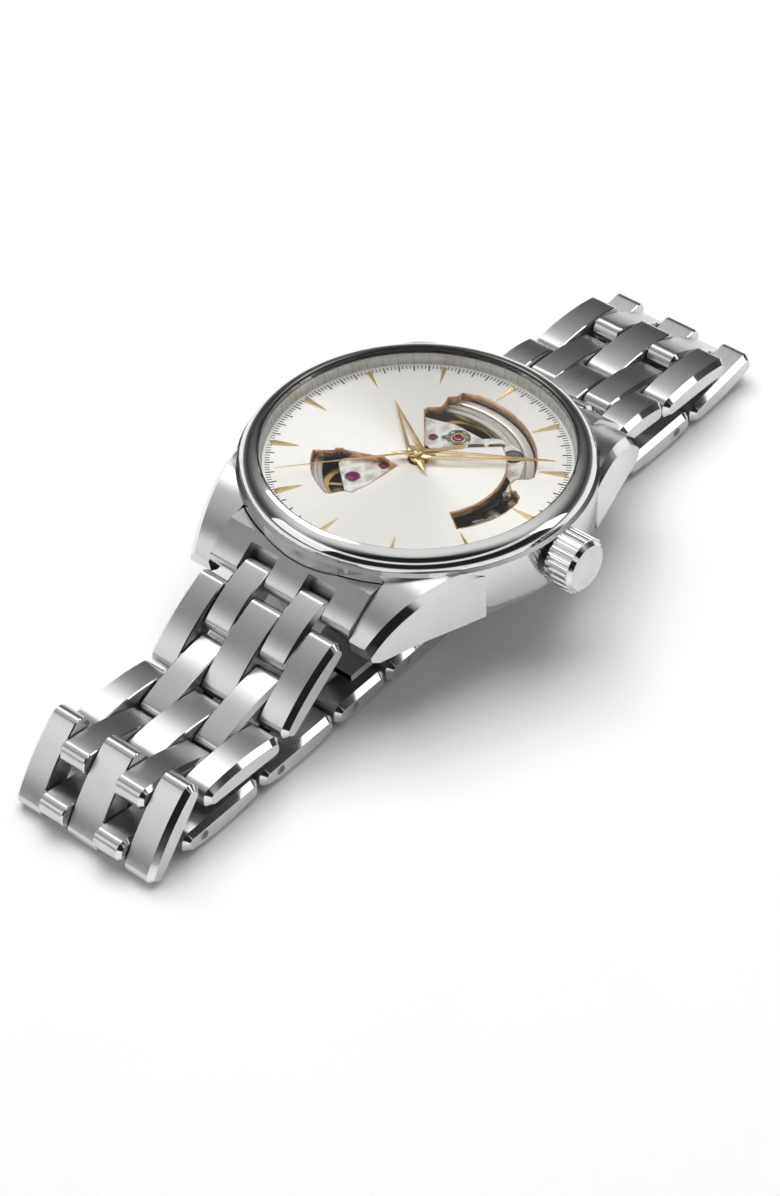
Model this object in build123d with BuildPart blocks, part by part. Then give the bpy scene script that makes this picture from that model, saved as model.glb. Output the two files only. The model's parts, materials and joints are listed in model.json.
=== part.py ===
"""Open-heart wristwatch on a folded steel bracelet, millimetres, +Z up.

The origin is on the floor, below the dial centre. +X points to 3 o'clock (the crown), +Y to 12
o'clock. The head leans on its folded bracelet, so it has a frame of its own, whose local origin is
the dial centre on the dial's top face. Each bracelet side is a chain of pinned rows.
"""
import math
import os
from build123d import *

os.makedirs("parts", exist_ok=True)

# ---------------------------------------------------------------- driving dimensions
HEAD_HEIGHT = 15.6        # dial centre above the floor
HEAD_TILT = 3.23          # the 12 o'clock side hangs lower, degrees
CASE_RADIUS = 20.0
BORE_RADIUS = 17.6
BACK_BORE_RADIUS = 17.5
LUG_BEVEL = 0.7
LUG_INNER = 10.1          # half the width between the lugs
DIAL_RADIUS = 17.4
DIAL_THICKNESS = 0.5
PLATE_RADIUS = 12.8
STEM_HEIGHT = -2.7        # crown axis, in the head frame
BAR_REACH = 21.8          # spring bars, from the dial centre
BAR_DROP = -4.5           # spring bars, below the dial

SPACING = 5.95            # pin to pin in a full row
REACH = 2.78              # a link runs this far past its pin
SHORT_REACH = 1.2
END_ROUND = 1.15
FLAT_EDGE = 1.1           # a clasp link's slope at each end of its flat face
INNER_FACE = -1.35        # wrist side, from the pin line
OUTER_FACE = 1.65         # crown of the outer face
OUTER_EDGE = 1.05
PIN_HEIGHT = 1.65         # lower strand, above the floor
PIN_RADIUS = 0.55
PRESS_HOLE = 0.56
TURN_HOLE = 0.58
GAP = 0.12                # between neighbouring columns
CENTRE_HALF = 2.1
COLUMN = 3.8
B_START = CENTRE_HALF + GAP
OUTER_START = B_START + COLUMN + GAP
HALF_WIDTH = OUTER_START + COLUMN
SIDE_BEVEL = 0.6
B_BEVEL = 0.45
FINE_BEVEL = 0.12
BLIND_PIN = 8.9

# ---------------------------------------------------------------- frames
tilt = math.radians(HEAD_TILT)
head = Plane(
    origin=(0, 0, HEAD_HEIGHT), x_dir=(1, 0, 0), z_dir=(0, math.sin(tilt), math.cos(tilt))
)
head_axis = Axis(head.origin, head.z_dir)
section = Plane(origin=head.origin, x_dir=head.x_dir, z_dir=-head.y_dir)     # radius, height
profile = Plane(origin=head.origin, x_dir=head.y_dir, z_dir=head.x_dir)      # towards 12, height
stem_plane = Plane(origin=head.from_local_coords((0, 0, STEM_HEIGHT)), x_dir=head.y_dir,
                   z_dir=head.x_dir)
mirror_sides = Plane(origin=head.origin, x_dir=head.y_dir, z_dir=head.x_dir)
mirror_ends = Plane(origin=head.origin, x_dir=head.x_dir, z_dir=head.y_dir)


def save(piece, name):
    piece.label = name
    export_step(piece, f"parts/{name}.step")


def ring_points(inner, outer, low, high):
    return [(inner, low), (outer, low), (outer, high), (inner, high)]


# ---------------------------------------------------------------- case
with BuildPart() as lug:
    with BuildSketch(head.offset(-7.4)):
        with BuildLine():
            Polyline((17.6, 9.5), (LUG_INNER, 9.5), (LUG_INNER, 23.2), (13.0, 23.0))
            ThreePointArc((13.0, 23.0), (14.8, 18.0), (17.6, 9.5))
        make_face()
    extrude(amount=8)
    with BuildSketch(profile.offset(LUG_INNER - 1)):
        with BuildLine():
            ThreePointArc((9, -0.3), (18.6, -1.45), (23.1, -5.2))
            Polyline((23.1, -5.2), (22.8, -6.7), (21.9, -7.1), (17, -6.6), (9, -6.6), (9, -0.3))
        make_face()
    extrude(amount=10, mode=Mode.INTERSECT)
    with BuildSketch(profile.offset(LUG_INNER - 0.5)):
        with Locations((BAR_REACH, BAR_DROP)):
            Circle(0.45)
    extrude(amount=1.9, mode=Mode.SUBTRACT)
    chamfer(lug.edges().filter_by(GeomType.BSPLINE).sort_by(head_axis)[-1], LUG_BEVEL)

with BuildPart() as case_middle:
    with BuildSketch(section):
        with BuildLine():
            Polyline((17.0, 0.3), (19.5, 0.3), (CASE_RADIUS, 0.0), (CASE_RADIUS, -5.2),
                     (19.3, -6.6), (17.0, -6.6), close=True)
        make_face()
    revolve(axis=head_axis)
    add(lug.part)
    mirror(lug.part, about=mirror_sides)
    mirror(lug.part, about=mirror_ends)
    mirror(mirror(lug.part, about=mirror_sides, mode=Mode.PRIVATE), about=mirror_ends)
    with BuildSketch(head.offset(-7.5)):
        Circle(BACK_BORE_RADIUS)
    extrude(amount=9, mode=Mode.SUBTRACT)
    with BuildSketch(head.offset(-0.6)):
        Circle(BORE_RADIUS)
    extrude(amount=2, mode=Mode.SUBTRACT)
    with BuildSketch(stem_plane.offset(16)):
        Circle(1.2)
    extrude(amount=5, mode=Mode.SUBTRACT)
save(case_middle.part, "case_middle")

with BuildPart() as bezel:
    with BuildSketch(section):
        with BuildLine():
            Polyline((17.95, 2.05), (17.75, 2.1), (17.62, 2.0), (17.62, 0.32), (19.6, 0.32),
                     (19.6, 0.62))
            ThreePointArc((19.6, 0.62), (19.05, 1.5), (17.95, 2.05))
        make_face()
    revolve(axis=head_axis)
save(bezel.part, "bezel")

DOME_TOP = 2.55
DOME_EDGE = 17.15
DOME_RISE = DOME_TOP - 2.1
DOME_RADIUS = (DOME_EDGE ** 2 + DOME_RISE ** 2) / (2 * DOME_RISE)
with BuildPart() as crystal:
    with BuildSketch(section):
        with BuildLine():
            Polyline((0, DOME_TOP), (0, 1.4), (17.4, 1.4), (17.4, 1.9), (DOME_EDGE, 2.1))
            RadiusArc((DOME_EDGE, 2.1), (0, DOME_TOP), -DOME_RADIUS)
        make_face()
    revolve(axis=head_axis)
save(crystal.part, "crystal")

with BuildPart() as seals:
    with BuildSketch(section):
        with BuildLine():
            Polyline(*ring_points(17.42, 17.6, 1.45, 1.85), close=True)
        make_face()
        with BuildLine():
            Polyline(*ring_points(16.4, 17.2, -6.58, -6.1), close=True)
        make_face()
    revolve(axis=head_axis)
save(seals.part, "seals")

with BuildPart() as rehaut:
    with BuildSketch(section):
        with BuildLine():
            Polyline((17.1, 0.0), (17.55, 0.0), (17.55, 1.38), (17.3, 1.38), close=True)
        make_face()
    revolve(axis=head_axis)
save(rehaut.part, "rehaut")

with BuildPart() as caseback:
    with BuildSketch(section):
        with BuildLine():
            Polyline((13.1, -6.62), (18.9, -6.62), (18.7, -7.3), (15.6, -8.4), (12.2, -8.4),
                     (12.2, -7.92), (13.1, -7.92), close=True)
        make_face()
    revolve(axis=head_axis)
    with BuildSketch(head.offset(-8.6)):
        with PolarLocations(16.6, 6):
            Rectangle(1.6, 2.4)
    extrude(amount=0.9, mode=Mode.SUBTRACT)
save(caseback.part, "caseback")

with BuildPart() as caseback_glass:
    with BuildSketch(head.offset(-7.9)):
        Circle(13.08)
    extrude(amount=0.8)
save(caseback_glass.part, "caseback_glass")

# ---------------------------------------------------------------- dial side
with BuildPart() as dial:
    with BuildSketch(head.offset(-DIAL_THICKNESS)):
        Circle(DIAL_RADIUS)
        Circle(1.15, mode=Mode.SUBTRACT)
        with BuildLine():                       # the large opening over the balance
            Polyline((-0.6, 1.7), (-5.2, 7.1), (-5.1, 7.7), (-4.0, 8.7), (-4.6, 10.6), (-3.9, 11.3),
                     (-3.8, 12.2), (-2.0, 13.0))
            ThreePointArc((-2.0, 13.0), (7.6, 10.7), (11.8, 5.7))
            Polyline((11.8, 5.7), (11.6, 5.0), (10.5, 4.0), (10.6, 3.0), (11.3, 2.4), (11.7, 2.6),
                     (12.7, 2.1), (13.2, 1.1))
            ThreePointArc((13.2, 1.1), (12.8, -3.1), (10.9, -6.5))
            Line((10.9, -6.5), (8.5, -4.8))
            ThreePointArc((8.5, -4.8), (9.9, 0.4), (5.7, 7.5))
            Line((5.7, 7.5), (-0.6, 1.7))
        make_face(mode=Mode.SUBTRACT)
        with BuildLine():                       # the smaller opening over the train
            Polyline((-0.9, -2.3), (-3.0, -2.1), (-7.2, -3.9), (-7.6, -3.8), (-8.2, -4.3),
                     (-8.1, -4.7), (-9.9, -6.2))
            ThreePointArc((-9.9, -6.2), (-7.7, -9.0), (-3.9, -10.9))
            Polyline((-3.9, -10.9), (-3.4, -10.7), (-2.6, -9.4), (-1.7, -9.0), (-1.2, -6.7),
                     (-0.9, -2.3))
        make_face(mode=Mode.SUBTRACT)
    extrude(amount=DIAL_THICKNESS)
save(dial.part, "dial")

MARKER_INNER = 13.3
MARKER_OUTER = 16.6
with BuildPart() as hour_markers:
    for hour in range(12):
        turn = Plane(head.offset(0.01).location * Location((0, 0, 0), (0, 0, -30 * hour)))
        wide = 0.62 if hour in (0, 9) else 0.42
        with BuildSketch(turn):
            with BuildLine():
                Polyline((0, MARKER_INNER), (wide, MARKER_OUTER - 0.3), (0, MARKER_OUTER),
                         (-wide, MARKER_OUTER - 0.3), close=True)
            make_face()
        extrude(amount=0.32)
save(hour_markers.part, "hour_markers")


def hand_plane(height, degrees):
    return Plane(head.offset(height).location * Location((0, 0, 0), (0, 0, -degrees)))


def kite(tip, half_width, shoulder, tail):
    return (0, tip), (half_width, shoulder), (0, -tail), (-half_width, shoulder)


HOUR_ANGLE = 305.0        # hands stand at ten past ten
MINUTE_ANGLE = 55.3
SECOND_ANGLE = 220.0

with BuildPart() as hour_hand:
    with BuildSketch(hand_plane(0.42, HOUR_ANGLE)):
        with BuildLine():
            Polyline(*kite(10.2, 0.95, 0.9, 2.9), close=True)
        make_face()
        with BuildLine():
            Polyline(*kite(8.6, 0.45, 1.9, -1.6), close=True)
        make_face(mode=Mode.SUBTRACT)
        Circle(0.62, mode=Mode.SUBTRACT)
    extrude(amount=0.16)
    with BuildSketch(head.offset(-1.5)):
        Circle(0.9)
        Circle(0.62, mode=Mode.SUBTRACT)
    extrude(amount=2.08)
save(hour_hand.part, "hour_hand")

with BuildPart() as minute_hand:
    with BuildSketch(hand_plane(0.7, MINUTE_ANGLE)):
        with BuildLine():
            Polyline(*kite(15.1, 0.8, 0.9, 2.9), close=True)
        make_face()
        with BuildLine():
            Polyline(*kite(13.2, 0.34, 2.2, -1.7), close=True)
        make_face(mode=Mode.SUBTRACT)
        Circle(0.3, mode=Mode.SUBTRACT)
    extrude(amount=0.15)
    with BuildSketch(head.offset(-2.1)):
        Circle(0.56)
        Circle(0.3, mode=Mode.SUBTRACT)
    extrude(amount=2.95)
save(minute_hand.part, "minute_hand")

with BuildPart() as seconds_hand:
    with BuildSketch(hand_plane(0.96, SECOND_ANGLE)):
        with BuildLine():
            Polyline(*kite(15.9, 0.16, 1.0, 2.0), close=True)
        make_face()
        with BuildLine():
            Polyline((-0.1, 0), (-0.38, -5.1), (0.38, -5.1), (0.1, 0), close=True)
        make_face()
        Circle(0.62)
    extrude(amount=0.1)
    with BuildSketch(head.offset(-3.15)):
        Circle(0.24)
    extrude(amount=4.3)
save(seconds_hand.part, "seconds_hand")

# ---------------------------------------------------------------- movement
BALANCE = (0.4, 6.4)
PALLET = (-1.9, 4.8)
ESCAPE = (-6.3, 2.6)
THIRD = (-4.2, -6.1)
TRAIN_JEWEL = (-2.8, -2.5)
BARREL = (5.6, -5.6)

with BuildPart() as main_plate:
    with BuildSketch(head.offset(-5.1)):
        Circle(PLATE_RADIUS)
        Circle(0.9, mode=Mode.SUBTRACT)
    extrude(amount=1.9)
    with BuildSketch(head.offset(-3.2)):
        Circle(PLATE_RADIUS)
        Circle(11.7, mode=Mode.SUBTRACT)
    extrude(amount=2.2)
    with BuildSketch(head.offset(-3.8)):
        with Locations((11.2, 0)):
            Rectangle(3.4, 2.6)
    extrude(amount=3, mode=Mode.SUBTRACT)
    with BuildSketch(head.offset(-5.1)):
        with Locations(BALANCE):
            Circle(5.2)
    extrude(amount=0.9, mode=Mode.SUBTRACT)
save(main_plate.part, "main_plate")

with BuildPart() as movement_ring:
    with BuildSketch(head.offset(-6.0)):
        Circle(17.4)
        Circle(12.9, mode=Mode.SUBTRACT)
    extrude(amount=5.45)
    with BuildSketch(stem_plane.offset(12)):
        Circle(1.0)
    extrude(amount=6, mode=Mode.SUBTRACT)
    with BuildSketch(stem_plane.offset(16)):
        Circle(1.6)
    extrude(amount=2, mode=Mode.SUBTRACT)
save(movement_ring.part, "movement_ring")

BRIDGE_LOW = -1.45
BRIDGE_HIGH = -0.85
with BuildPart() as train_bridge:
    with BuildSketch(head.offset(BRIDGE_LOW)):
        with BuildLine():
            Polyline((-0.4, -10.9), (-2.0, -9.4), (-3.0, -8.7), (-6.9, -5.35), (-7.0, -4.4),
                     (-5.6, -2.0), (-4.0, 0.5), (2.0, 1.2), (4.0, -1.6), (3.2, -8.0), (-0.4, -10.9))
        make_face()
        Circle(1.2, mode=Mode.SUBTRACT)
        with Locations(THIRD):
            Circle(0.7, mode=Mode.SUBTRACT)
        with Locations(TRAIN_JEWEL):
            Circle(0.42, mode=Mode.SUBTRACT)
    extrude(amount=BRIDGE_HIGH - BRIDGE_LOW)
    with BuildSketch(head.offset(-3.2)):
        with Locations((-0.9, -9.9), (-4.9, -2.2)):
            Circle(0.5)
    extrude(amount=1.8)
save(train_bridge.part, "train_bridge")

with BuildPart() as balance_cock:
    with BuildSketch(head.offset(BRIDGE_LOW)):
        with BuildLine():
            Polyline((-6.4, 6.6), (-4.2, 3.6), (-1.0, 3.1), (2.6, 4.9), (6.2, 6.0), (9.6, 4.2),
                     (10.6, 1.7), (11.2, 2.3), (9.6, 6.2), (8.6, 8.0), (7.0, 9.1), (5.2, 9.4),
                     (4.2, 9.3), (3.3, 8.9), (2.5, 8.0), (-1.4, 8.1), (-3.4, 7.4), (-6.4, 6.6))
        make_face()
        with Locations(BALANCE):
            Circle(0.95, mode=Mode.SUBTRACT)
        with Locations(PALLET):
            Circle(0.4, mode=Mode.SUBTRACT)
        with Locations((-0.9, 5.6)):
            Circle(0.35, mode=Mode.SUBTRACT)
        with Locations((2.75, 6.65), (4.5, 8.1)):
            SlotOverall(1.9, 0.75, rotation=40, mode=Mode.SUBTRACT)
    extrude(amount=BRIDGE_HIGH - BRIDGE_LOW)
    with BuildSketch(head.offset(-3.2)):
        with Locations((9.8, 4.6), (-5.9, 6.3)):
            Circle(0.55)
    extrude(amount=1.8)
save(balance_cock.part, "balance_cock")

with BuildPart() as jewels:
    for spot, radius in ((THIRD, 0.7), (TRAIN_JEWEL, 0.42), (PALLET, 0.4)):
        with BuildSketch(head.offset(-1.25)):
            with Locations(spot):
                Circle(radius)
        extrude(amount=0.5)
    with BuildSketch(head.offset(-1.35)):
        with Locations(BALANCE):
            Circle(0.95)
    extrude(amount=0.3)
    with BuildSketch(head.offset(-1.05)):
        with Locations(BALANCE):
            Circle(0.55)
    extrude(amount=0.35)
save(jewels.part, "jewels")


def toothed_wheel(spot, height, radius, teeth, hub, spokes, rim, bore):
    """A spoked wheel's outline: rim with teeth, spokes and hub, on a plane parallel to the dial."""
    with BuildSketch(head.offset(height)) as wheel:
        with Locations(spot):
            Circle(radius - 0.22)
            with PolarLocations(radius - 0.22, teeth):
                Rectangle(0.44, math.pi * radius / teeth)
            Circle(radius - rim, mode=Mode.SUBTRACT)
            Circle(hub)
            with PolarLocations((radius - rim + hub) / 2, spokes):
                Rectangle(radius - rim - hub + 0.3, 0.36)
            if bore:
                Circle(bore, mode=Mode.SUBTRACT)
    return wheel.sketch


with BuildPart() as balance_wheel:
    with BuildSketch(head.offset(-2.4)):
        with Locations(BALANCE):
            Circle(4.7)
            Circle(4.1, mode=Mode.SUBTRACT)
            with PolarLocations(2.2, 3, start_angle=20):
                Rectangle(4.1, 0.4)
            Circle(0.6)
    extrude(amount=0.4)
    for turn_radius in (1.0, 1.35, 1.7, 2.05):
        with BuildSketch(head.offset(-2.0)):
            with Locations(BALANCE):
                Circle(turn_radius + 0.06)
                Circle(turn_radius - 0.06, mode=Mode.SUBTRACT)
        extrude(amount=0.15)
    with BuildSketch(head.offset(-3.1)):
        with Locations(BALANCE):
            Circle(0.28)
    extrude(amount=1.7)
save(balance_wheel.part, "balance_wheel")

with BuildPart() as pallet_fork:
    with BuildSketch(head.offset(-2.85)):
        with BuildLine():
            Polyline((-0.5, 5.5), (-1.8, 4.5), (-3.0, 5.3), (-3.3, 5.0), (-2.2, 4.3), (-2.9, 3.2),
                     (-2.5, 3.1), (-1.6, 4.2), (-0.3, 5.2), (-0.5, 5.5))
        make_face()
    extrude(amount=0.25)
    with BuildSketch(head.offset(-3.1)):
        with Locations(PALLET):
            Circle(0.22)
    extrude(amount=0.65)
save(pallet_fork.part, "pallet_fork")

with BuildPart() as escape_wheel:
    extrude(toothed_wheel(ESCAPE, -2.85, 2.0, 15, 0.5, 4, 0.55, 0), amount=0.25)
    with BuildSketch(head.offset(-3.1)):
        with Locations(ESCAPE):
            Circle(0.22)
    extrude(amount=1.9)
save(escape_wheel.part, "escape_wheel")

with BuildPart() as third_wheel:
    extrude(toothed_wheel(THIRD, -2.35, 3.4, 60, 1.0, 5, 0.75, 0), amount=0.35)
    with BuildSketch(head.offset(-3.1)):
        with Locations(THIRD):
            Circle(0.3)
    extrude(amount=1.7)
save(third_wheel.part, "third_wheel")

with BuildPart() as fourth_wheel:
    extrude(toothed_wheel((0, 0), -3.1, 3.9, 70, 0.9, 5, 0.8, 0.24), amount=0.2)
save(fourth_wheel.part, "fourth_wheel")

with BuildPart() as barrel:
    with BuildSketch(head.offset(-3.1)):
        with Locations(BARREL):
            Circle(3.5)
    extrude(amount=1.3)
    with BuildSketch(head.offset(-2.9)):
        with Locations(BARREL):
            with PolarLocations(3.5, 72):
                Rectangle(0.16, 0.17)
    extrude(amount=0.4)
save(barrel.part, "barrel")

with BuildPart() as rotor:
    with BuildSketch(head.offset(-6.0)):
        Circle(12.2)
        with Locations((0, 6.6)):
            Rectangle(30, 12.4, mode=Mode.SUBTRACT)
        Circle(9.6, mode=Mode.SUBTRACT)
        Circle(2.4)
        with PolarLocations(6, 3, start_angle=-150, angular_range=120):
            Rectangle(8.2, 1.6)
    extrude(amount=0.7)
    with BuildSketch(head.offset(-5.3)):
        Circle(0.85)
    extrude(amount=1.4)
    with BuildSketch(head.offset(-6.5)):
        Circle(12.2)
        Circle(9.9, mode=Mode.SUBTRACT)
        with Locations((0, 7.0)):
            Rectangle(30, 14, mode=Mode.SUBTRACT)
    extrude(amount=0.5)
save(rotor.part, "rotor")

# ---------------------------------------------------------------- winding
with BuildPart() as crown_tube:
    with BuildSketch(stem_plane.offset(17.7)):
        Circle(1.2)
        Circle(0.75, mode=Mode.SUBTRACT)
    extrude(amount=3.6)
save(crown_tube.part, "crown_tube")

CROWN_BACK = 20.3
CROWN_FACE = 23.7
CROWN_RADIUS = 3.25
with BuildPart() as crown:
    with BuildSketch(stem_plane.offset(CROWN_BACK)):
        Circle(CROWN_RADIUS)
        with PolarLocations(CROWN_RADIUS + 0.1, 26):
            Circle(0.3, mode=Mode.SUBTRACT)
    extrude(amount=CROWN_FACE - CROWN_BACK - 0.5)
    with BuildSketch(stem_plane.offset(CROWN_FACE - 0.5)):
        Circle(CROWN_RADIUS - 0.25)
    extrude(amount=0.5, taper=35)
    with BuildSketch(stem_plane.offset(CROWN_BACK)):
        Circle(1.9)
    extrude(amount=2.2, mode=Mode.SUBTRACT)
    with BuildSketch(stem_plane.offset(CROWN_BACK)):
        Circle(0.44)
    extrude(amount=2.7, mode=Mode.SUBTRACT)
save(crown.part, "crown")

with BuildPart() as winding_stem:
    with BuildSketch(stem_plane.offset(9.9)):
        Circle(0.44)
    extrude(amount=13.1)
save(winding_stem.part, "winding_stem")

with BuildPart() as winding_pinion:
    with BuildSketch(stem_plane.offset(10.2)):
        Circle(0.8)
        with PolarLocations(0.8, 12):
            Rectangle(0.2, 0.2)
        Circle(0.46, mode=Mode.SUBTRACT)
    extrude(amount=1.4)
save(winding_pinion.part, "winding_pinion")

# ---------------------------------------------------------------- end links and spring bars
with BuildPart() as end_links:
    with BuildSketch(profile.offset(-LUG_INNER + 0.1)):
        with BuildLine():
            Polyline((17.0, -1.1), (19.4, -1.2), (21.2, -2.6), (22.7, -3.75))
            ThreePointArc((22.7, -3.75), (22.85, -5.1), (21.7, -5.7))
            Polyline((21.7, -5.7), (17.0, -5.9), (17.0, -1.1))
        make_face()
    extrude(amount=2 * LUG_INNER - 0.2)
    with BuildSketch(head.offset(-8)):
        Circle(CASE_RADIUS + 0.1)
    extrude(amount=9, mode=Mode.SUBTRACT)
    with BuildSketch(head.offset(-8)):
        with GridLocations(2 * B_START + COLUMN, 0, 2, 1):
            with Locations((0, 24.35)):
                Rectangle(COLUMN + 2 * GAP, 8)
    extrude(amount=9, mode=Mode.SUBTRACT)
    with BuildSketch(profile.offset(-LUG_INNER)):
        with Locations((BAR_REACH, BAR_DROP)):
            Circle(0.62)
    extrude(amount=2 * LUG_INNER, mode=Mode.SUBTRACT)
    mirror(about=mirror_ends)
save(end_links.part, "end_links")

with BuildPart() as spring_bars:
    for side in (-1, 1):
        with BuildSketch(profile.offset(-9.9)):
            with Locations((side * BAR_REACH, BAR_DROP)):
                Circle(0.6)
        extrude(amount=19.8)
        with BuildSketch(profile.offset(-11.3)):
            with Locations((side * BAR_REACH, BAR_DROP)):
                Circle(0.4)
        extrude(amount=22.6)
save(spring_bars.part, "spring_bars")


# ---------------------------------------------------------------- bracelet
def polar(start, degrees, length):
    angle = math.radians(degrees)
    return start[0] + length * math.cos(angle), start[1] + length * math.sin(angle)


def meet(first, second, side):
    """Where circles of one pin spacing round two pins cross, on the left (1) or right (-1)."""
    across = (second[0] - first[0], second[1] - first[1])
    span = math.hypot(*across)
    rise = side * math.sqrt(SPACING ** 2 - span ** 2 / 4)
    middle = ((first[0] + second[0]) / 2, (first[1] + second[1]) / 2)
    return middle[0] - rise * across[1] / span, middle[1] + rise * across[0] / span


def bar_place(side):
    """A spring bar's place in floor coordinates (y, z)."""
    spot = head.from_local_coords((0, side * BAR_REACH, BAR_DROP))
    return spot.Y, spot.Z


def floor_pin(y):
    return y, PIN_HEIGHT


# Pins of the 6 o'clock side from the spring bar, down over the upper strand, round the fold and
# back along the floor to the clasp's seam.
six = [bar_place(-1)]
six.append(polar(six[-1], 208.6, 5.0))
six.append(polar(six[-1], 214.5, SPACING))
six.append(polar(six[-1], 194.0, SPACING))
six.append(polar(six[-1], 177.5, SPACING))
FOLD_SIX = (-52.7, 2.5)
six.append(meet(six[-1], FOLD_SIX, -1))
six.append(FOLD_SIX)
six += [floor_pin(y) for y in (-46.8, -40.85, -34.9, -28.95, -23.0, -18.9, -14.4, -8.1)]

# The 12 o'clock side, the same way round.
FOLD_TWELVE = (45.35, 2.4)
twelve = [bar_place(1), (24.1, 7.1), (28.45, 6.8)]
twelve_far = polar(FOLD_TWELVE, 149.1, SPACING)
twelve.append(meet(twelve[-1], twelve_far, -1))
twelve.append(twelve_far)
twelve.append(FOLD_TWELVE)
twelve += [floor_pin(y) for y in (39.45, 33.5, 27.55, 21.6, 15.65, 9.7, 5.2, 0.75, -5.2)]

# One entry for each row: kind, near reach, far reach. A rows have three pieces and carry the
# pins, B rows have two; C rows belong to the clasp, and have a flat outer face.
SIX_ROWS = [("B", SHORT_REACH, REACH), ("A", REACH, REACH), ("B", REACH, REACH),
            ("A", REACH, REACH), ("B", REACH, REACH), ("A", REACH, REACH), ("B", REACH, REACH),
            ("A", REACH, REACH), ("B", REACH, REACH), ("A", REACH, REACH), ("B", REACH, REACH),
            ("A", REACH, SHORT_REACH), ("B", 1.0, REACH), ("C", 2.9, 1.2)]
TWELVE_ROWS = [("B", SHORT_REACH, SHORT_REACH), ("A", SHORT_REACH, REACH), ("B", REACH, REACH),
               ("A", REACH, REACH), ("B", REACH, REACH), ("A", REACH, REACH), ("B", REACH, REACH),
               ("A", REACH, REACH), ("B", REACH, REACH), ("A", REACH, REACH), ("B", REACH, REACH),
               ("A", REACH, SHORT_REACH), ("B", 1.4, REACH), ("C", REACH, 1.5)]
# Rows whose near or far pin shows on the outside.
SHOWN_PINS = {"six": {8: ("near",), 10: ("near",), 12: ("near",), 14: ("near", "far")},
              "twelve": {8: ("near",), 10: ("near",), 12: ("near",), 14: ("far",)}}


def side_outline(plane, low, high, crown):
    """A link seen from the side: flat wrist face, round ends and a crowned or flat outer face."""
    with BuildSketch(plane) as outline:
        with BuildLine():
            Polyline((low, OUTER_EDGE), (low, INNER_FACE), (high, INNER_FACE), (high, OUTER_EDGE))
            if crown:
                ThreePointArc((high, OUTER_EDGE), ((low + high) / 2, OUTER_FACE), (low, OUTER_EDGE))
            else:
                Polyline((high, OUTER_EDGE), (high - FLAT_EDGE, OUTER_FACE),
                         (low + FLAT_EDGE, OUTER_FACE), (low, OUTER_EDGE))
        make_face()
        fillet(outline.vertices(), END_ROUND)
    return outline.sketch


COLUMNS = {
    "A": ((-HALF_WIDTH, COLUMN), (-CENTRE_HALF, 2 * CENTRE_HALF), (OUTER_START, COLUMN)),
    "B": ((-B_START - COLUMN, COLUMN), (B_START, COLUMN)),
}
COLUMNS["C"] = COLUMNS["A"]


def row_plane(start, end, hand):
    """The plane of a row's side view: x from pin to pin, y out of the bracelet, z along the pins."""
    span = math.hypot(end[0] - start[0], end[1] - start[1])
    along = ((end[0] - start[0]) / span, (end[1] - start[1]) / span)
    return Plane(origin=(0, start[0], start[1]), x_dir=(0, along[0], along[1]), z_dir=(hand, 0, 0))


def rim_edges(edges, side_x):
    """The edges that run round one side of a column, on both hands of the bracelet."""
    return [edge for edge in edges if abs(abs(edge.center().X) - side_x) < 0.02]


def build_row(kind, start, end, hand, near_reach, far_reach, shown):
    plane = row_plane(start, end, hand)
    span = math.hypot(end[0] - start[0], end[1] - start[1])
    with BuildPart() as links:
        for column_start, width in COLUMNS[kind]:
            outline = side_outline(plane.offset(column_start), -near_reach, span + far_reach,
                                   kind != "C")
            extrude(outline, amount=width)
        if kind == "B":
            chamfer(rim_edges(links.edges(), B_START + COLUMN), B_BEVEL)
            chamfer(rim_edges(links.edges(), B_START), FINE_BEVEL)
        else:
            chamfer(rim_edges(links.edges(), HALF_WIDTH), SIDE_BEVEL)
            chamfer(rim_edges(links.edges(), OUTER_START), FINE_BEVEL)
            chamfer(rim_edges(links.edges(), CENTRE_HALF), FINE_BEVEL)
        hole = TURN_HOLE if kind == "B" else PRESS_HOLE
        for place, which in ((0, "near"), (span, "far")):
            reach = 11 if which in shown else BLIND_PIN + 0.1
            radius = 0.64 if kind == "B" and start in (six[0], twelve[0]) and place == 0 else hole
            with BuildSketch(plane.offset(-reach)):
                with Locations((place, 0)):
                    Circle(radius)
            extrude(amount=2 * reach, mode=Mode.SUBTRACT)
    if kind == "B":
        return links.part
    with BuildPart() as pins:
        for place, which in ((0, "near"), (span, "far")):
            reach = 9.6 if which in shown else BLIND_PIN
            with BuildSketch(plane.offset(-reach)):
                with Locations((place, 0)):
                    Circle(PIN_RADIUS)
            extrude(amount=2 * reach)
    return Compound(children=list(links.part.solids()) + list(pins.part.solids()))


def build_side(side, pins, rows, hand):
    for index, (kind, near_reach, far_reach) in enumerate(rows[:-2]):
        row = build_row(kind, pins[index], pins[index + 1], hand, near_reach, far_reach,
                        SHOWN_PINS[side].get(index + 1, ()))
        save(row, f"{side}_row_{index + 1:02d}")
    inner = build_row(rows[-2][0], pins[-3], pins[-2], hand, rows[-2][1], rows[-2][2], ())
    outer = build_row(rows[-1][0], pins[-2], pins[-1], hand, rows[-1][1], rows[-1][2],
                      SHOWN_PINS[side][len(rows)])
    clasp_row = Compound(children=list(inner.solids()) + list(outer.solids()))
    save(clasp_row, f"{side}_clasp_row")


build_side("six", six, SIX_ROWS, -1)
build_side("twelve", twelve, TWELVE_ROWS, 1)

# ---------------------------------------------------------------- clasp blades and push buttons
BLADE_LOW = 3.25
KNEE = (-23.6, 4.15)      # the pivot between the two blades
SHORT_HALF = 3.9
LONG_HALF = 9.0
SEAM = -6.95
LONG_END = SEAM - 0.85    # the long blade stops short of the seam, to swing clear
BUTTON_PLACE = LONG_END - 1.7
side_view = Plane(origin=(0, 0, 0), x_dir=(0, 1, 0), z_dir=(1, 0, 0))

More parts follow.
